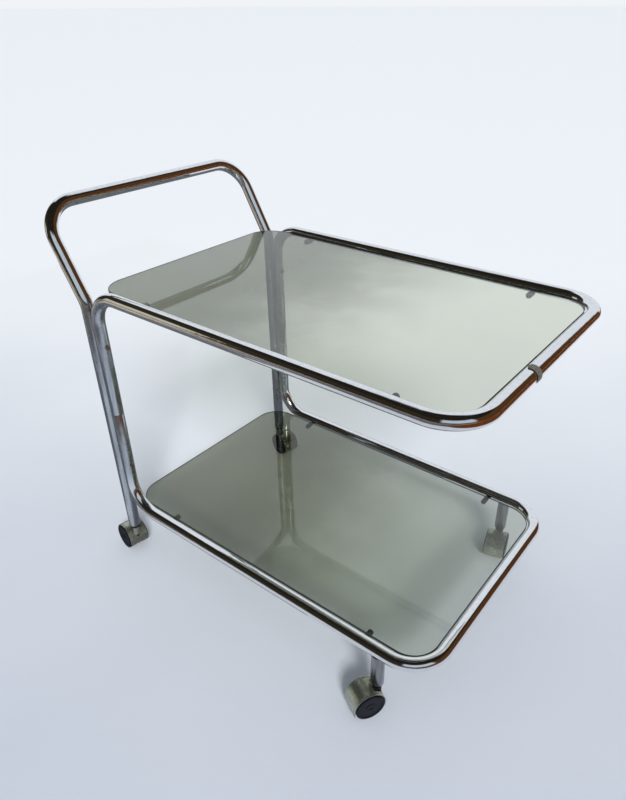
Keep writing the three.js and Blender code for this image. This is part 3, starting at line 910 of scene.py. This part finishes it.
for corner in ("right_front", "left_front", "right_rear", "left_rear"):
    swivel = f"{corner}_swivel"
    stem_place = Vector(hinges[f"{corner}_swivel_turn"]["pos_m"])
    axle_place = Vector(hinges[f"{corner}_left_wheel_spin"]["pos_m"])
    offset = (axle_place - stem_place).xy
    trail = offset.length
    heading = math.atan2(offset.y, offset.x)
    on_leg = Matrix.Translation((stem_place.x, stem_place.y, 0.0)) @ Matrix.Rotation(heading, 4, "Z")

    front = corner.endswith("front")
    shell = hood_skin(trail, front)
    place_on_leg(shell, on_leg)
    hood_node = f"{corner}_caster_hood"
    hood = finish_piece(shell, f"{corner}_hood", [hood_finish], [hood_node], swivel, 40.0)
    thick = hood.modifiers.new("thickness", "SOLIDIFY")
    thick.thickness = hood_wall
    thick.offset = -1.0
    thick.use_even_offset = True
    rounding = hood.modifiers.new("rounding", "BEVEL")
    rounding.width = 0.00025
    rounding.segments = 2
    rounding.limit_method = "ANGLE"
    rounding.angle_limit = math.radians(50.0)

    shell = web_plate(trail)
    place_on_leg(shell, on_leg)
    finish_piece(shell, f"{corner}_web", [block_finish], [hood_node], swivel)

    stem_low, stem_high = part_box(f"{corner}_caster_stem")
    hood_top_at_stem = wheel_radius + math.sqrt(hood_radius**2 - trail**2)
    block_top = hood_top_at_stem + 0.0035
    block_radius = 0.0078 if front else 0.0064
    shell = solid_round(block_radius, block_foot_z, block_top)
    soften(shell, rim_of(faces_at(shell, block_top)), 0.0008, 3)
    place_on_leg(shell, on_leg)
    finish_piece(shell, f"{corner}_block", [block_finish], [hood_node], swivel)

    socket_foot_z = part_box(f"{corner}_stem_socket")[0].z
    shell = solid_round(stem_radius, stem_low.z, stem_high.z, 32)
    place_on_leg(shell, on_leg)
    stem_node = f"{corner}_caster_stem"
    finish_piece(shell, f"{corner}_stem", [zinc_steel], [stem_node], swivel)
    stem_neck_foot = block_top + 0.0003
    shell = solid_round(stem_neck_radius, stem_neck_foot, socket_foot_z - 0.0002, 40)
    soften(shell, rim_of(faces_at(shell, stem_neck_foot)), 0.0012)
    place_on_leg(shell, on_leg)
    finish_piece(shell, f"{corner}_stem_neck", [zinc_steel], [stem_node], swivel)

    if not front:
        shell = bmesh.new()
        neck_low, neck_high = hood_top_at_stem - 0.004, socket_foot_z - 0.0003
        bmesh.ops.create_cone(
            shell,
            cap_ends=True,
            segments=48,
            radius1=neck_foot_radius,
            radius2=neck_top_radius,
            depth=neck_high - neck_low,
            matrix=Matrix.Translation((0.0, 0.0, (neck_low + neck_high) / 2)),
        )
        soften(shell, rim_of(faces_at(shell, neck_high)), 0.001, 3)
        place_on_leg(shell, on_leg)
        finish_piece(shell, f"{corner}_neck", [hood_finish], [hood_node], swivel)

    if front:
        shell = solid_round(plug_radius, socket_foot_z, socket_foot_z + foot_depth, 40)
        soften(shell, rim_of(faces_at(shell, socket_foot_z)), 0.0006, 2)
    else:
        collar_top = socket_foot_z + collar_height
        shell = solid_round(collar_radius, socket_foot_z, collar_top)
        soften(shell, rim_of(faces_at(shell, socket_foot_z)), 0.0008, 3)
        soften(shell, rim_of(faces_at(shell, collar_top)), 0.0005, 2)
    place_on_leg(shell, on_leg)
    finish_piece(
        shell,
        f"{corner}_socket",
        [block_finish],
        [f"{corner}_stem_socket"],
        "cart_frame",
    )

    carry_over(f"{corner}_caster_axle", plain_steel)

    for wheel_name, painted_light_far_out in (("left_wheel", 1.0), ("right_wheel", -1.0)):
        shell = solid_round(wheel_radius, wheel_inner_side, wheel_outer_side, 72)
        rims = rim_of(faces_at(shell, wheel_outer_side)) + rim_of(faces_at(shell, wheel_inner_side))
        soften(shell, rims, 0.0016, 4)
        middle = sink(shell, faces_at(shell, wheel_outer_side), 0.0028, -0.0007)
        middle = sink(shell, middle, 0.0125, 0.0005)
        sink(shell, middle, 0.0045, -0.0006)
        bmesh.ops.rotate(
            shell, verts=shell.verts, matrix=Matrix.Rotation(-painted_light_far_out * math.pi / 2, 3, "X")
        )
        bmesh.ops.translate(shell, verts=shell.verts, vec=(trail, 0.0, wheel_radius))
        place_on_leg(shell, on_leg)
        finish_piece(
            shell,
            f"{corner}_{wheel_name}_disc",
            [wheel_finish],
            [f"{corner}_caster_{wheel_name}"],
            f"{corner}_{wheel_name}",
        )

# ---------------------------------------------------------------------------------------------
# Floor: a plain pale studio floor, matt, with a faint mottle and painted light: darker toward the
# camera's side, lighter toward the back and far out. It is not part of the cart.
# ---------------------------------------------------------------------------------------------


def pale_floor():
    finish, p = new_finish("pale_floor")
    mottle = p.cloud(1.3, 3.0).between(0.3, 0.7)
    where = p.node("TexCoord", out=3)
    across = p.node("SeparateXYZ", None, {0: where}, out=0)
    along = p.node("SeparateXYZ", None, {0: where}, out=1)
    # Painted light: the floor is darker toward the camera's side and lighter away from it and far
    # out, standing for how the studio light falls.
    painted_light_toward_back = (along * 0.84 - across * 0.54 + mottle * 0.3).between(-1.1, 1.9)
    painted_light_far_out = p.math("SQRT", across * across + along * along).between(2.0, 7.0)
    painted_floor_light = p.math("MAXIMUM", painted_light_toward_back, painted_light_far_out)
    paper = p.node(
        "BsdfPrincipled",
        None,
        {
            "Base Color": painted_floor_light.blend((0.52, 0.565, 0.66, 1.0), (0.84, 0.87, 0.90, 1.0)),
            "Roughness": 0.7,
            "Normal": bumped(p, p.cloud(30.0, 3.0), 0.0004),
        },
    )
    show(p, paper)
    return finish


def staged_sheet(name, size_x, size_y, place, finish):
    shell = bmesh.new()
    bmesh.ops.create_grid(shell, x_segments=4, y_segments=4, size=0.5)
    bmesh.ops.scale(shell, verts=shell.verts, vec=(size_x, size_y, 1.0))
    bmesh.ops.translate(shell, verts=shell.verts, vec=place)
    mesh = bpy.data.meshes.new(name)
    shell.to_mesh(mesh)
    shell.free()
    mesh.materials.append(finish)
    sheet = bpy.data.objects.new(name, mesh)
    bpy.context.scene.collection.objects.link(sheet)
    return sheet


staged_sheet("studio_floor", 400.0, 400.0, (0.0, 0.0, 0.0), pale_floor())

# ---------------------------------------------------------------------------------------------
# Studio: soft light from a pale surround. Only mirror reflections see the darker room and its
# brown floor, which give the chrome its dark bands.
# ---------------------------------------------------------------------------------------------


def glow(name, colour):
    finish, p = new_finish(name)
    show(p, p.node("Emission", None, {"Color": colour, "Strength": 1.0}))
    return finish


def only_reflected(card):
    card.visible_camera = False
    card.visible_diffuse = False
    card.visible_shadow = False
    card.visible_transmission = False


room_floor = staged_sheet(
    "room_floor_right",
    60.0,
    60.0,
    (30.85, 28.0, 0.003),
    glow("brown_boards", (0.140, 0.041, 0.011, 1.0)),
)
only_reflected(room_floor)
near_floor = staged_sheet(
    "room_floor_near",
    60.0,
    30.0,
    (0.0, -16.0, 0.0025),
    glow("grey_boards", (0.145, 0.135, 0.130, 1.0)),
)
only_reflected(near_floor)

for name, size_x, size_y, centre, colour in (
    ("shade_under_cart", 0.50, 1.45, (-0.15, 0.475, 0.0010), (0.15, 0.16, 0.18, 1.0)),
    ("shade_behind_cart", 1.60, 2.10, (-1.20, 0.15, 0.0010), (0.15, 0.16, 0.18, 1.0)),
    ("sunlit_boards", 1.90, 1.70, (-2.35, -1.95, 0.0035), (0.62, 0.50, 0.34, 1.0)),
):
    patch = staged_sheet(name, size_x, size_y, centre, glow(name, colour))
    only_reflected(patch)

world = bpy.data.worlds.new("studio")
world.use_nodes = True
world.node_tree.nodes.clear()
world.cycles.sampling_method = "NONE"
bpy.context.scene.world = world
w = Paint(world.node_tree)
direction = w.node("TexCoord", out=0)
dir_x = w.node("SeparateXYZ", None, {0: direction}, out=0)
dir_y = w.node("SeparateXYZ", None, {0: direction}, out=1)
dir_z = w.node("SeparateXYZ", None, {0: direction}, out=2)
level_length = w.math("SQRT", dir_x * dir_x + dir_y * dir_y + 1e-6)


def toward(azimuth_deg):
    """The cosine of the angle between a direction's heading and this one."""
    a = math.radians(azimuth_deg)
    return (dir_x * math.cos(a) + dir_y * math.sin(a)) / level_length


sheet_behind = toward(123.0).between(0.60, 0.68) * (1.0 - dir_z.between(0.84, 0.93))
window_strip = (
    toward(-144.0).between(0.981, 0.992)
    * dir_z.between(-0.02, 0.02)
    * (1.0 - dir_z.between(0.30, 0.36))
)
room_side = toward(45.0).between(0.0, 0.6)
room = room_side.blend((0.028, 0.024, 0.015, 1.0), (0.080, 0.036, 0.014, 1.0))
window = (
    toward(-38.0).between(0.80, 0.88)
    * dir_z.between(0.16, 0.26)
    * (1.0 - dir_z.between(0.66, 0.74))
)
above = dir_z.between(0.58, 0.70).blend(room, (0.016, 0.013, 0.010, 1.0))
ceiling = window.blend(above, (0.50, 0.57, 0.64, 1.0))
with_strip = window_strip.blend(ceiling, (0.55, 0.53, 0.44, 1.0))
reflected = sheet_behind.blend(with_strip, (0.78, 0.82, 0.88, 1.0))
soft_surround = w.node("Background", None, {0: (0.84, 0.88, 0.93, 1.0), 1: 0.56})
seen_surround = w.node("Background", None, {0: (0.87, 0.90, 0.93, 1.0), 1: 1.0})
mirror_surround = w.node("Background", None, {0: reflected, 1: 1.0})
seen_rays = w.math("MAXIMUM", w.node("LightPath", out=0), w.node("LightPath", out=6))
mirror_rays = w.node("LightPath", out=3)
soft_or_seen = w.node("MixShader", None, {0: seen_rays, 1: soft_surround, 2: seen_surround})
both = w.node("MixShader", None, {0: mirror_rays, 1: soft_or_seen, 2: mirror_surround})
world_output = world.node_tree.nodes.new("ShaderNodeOutputWorld")
world.node_tree.links.new(both.socket, world_output.inputs["Surface"])

key_data = bpy.data.lights.new("key_softbox", "SUN")
key_data.energy = 3.0
key_data.angle = math.radians(16.0)
key_data.color = (1.0, 0.99, 0.97)
key = bpy.data.objects.new("key_softbox", key_data)
key_from = Vector((2.3, -2.0, 2.3))
key.rotation_euler = key_from.to_track_quat("Z", "Y").to_euler()
key.visible_glossy = False
bpy.context.scene.collection.objects.link(key)

# ---------------------------------------------------------------------------------------------
# Camera: it stands to the right of the cart's front, above the handle, and looks down on it.
# ---------------------------------------------------------------------------------------------
camera_data = bpy.data.cameras.new("camera")
camera_data.sensor_fit = "AUTO"
camera_data.sensor_width = 36.0
camera_data.lens = 29.25
camera_data.shift_x = -0.0214
camera_data.shift_y = 0.0139
camera_data.clip_start = 0.01
camera = bpy.data.objects.new("camera", camera_data)
bpy.context.scene.collection.objects.link(camera)
azimuth, pitch, roll = (math.radians(a) for a in (37.61, 32.11, 0.35))
forward = Vector(
    (-math.sin(azimuth) * math.cos(pitch), math.cos(azimuth) * math.cos(pitch), -math.sin(pitch))
)
level = Vector((math.cos(azimuth), math.sin(azimuth), 0.0))
down = forward.cross(level)
right = level * math.cos(roll) + down * math.sin(roll)
up = -(down * math.cos(roll) - level * math.sin(roll))
place = Vector((upright_x + 0.9135, (right_y + left_y) / 2 - 0.780, low_rail_z + 0.8381))
axes = Matrix((right, up, -forward)).transposed()
camera.matrix_world = Matrix.Translation(place) @ axes.to_4x4()
bpy.context.scene.camera = camera
bpy.context.scene.view_settings.view_transform = "Standard"
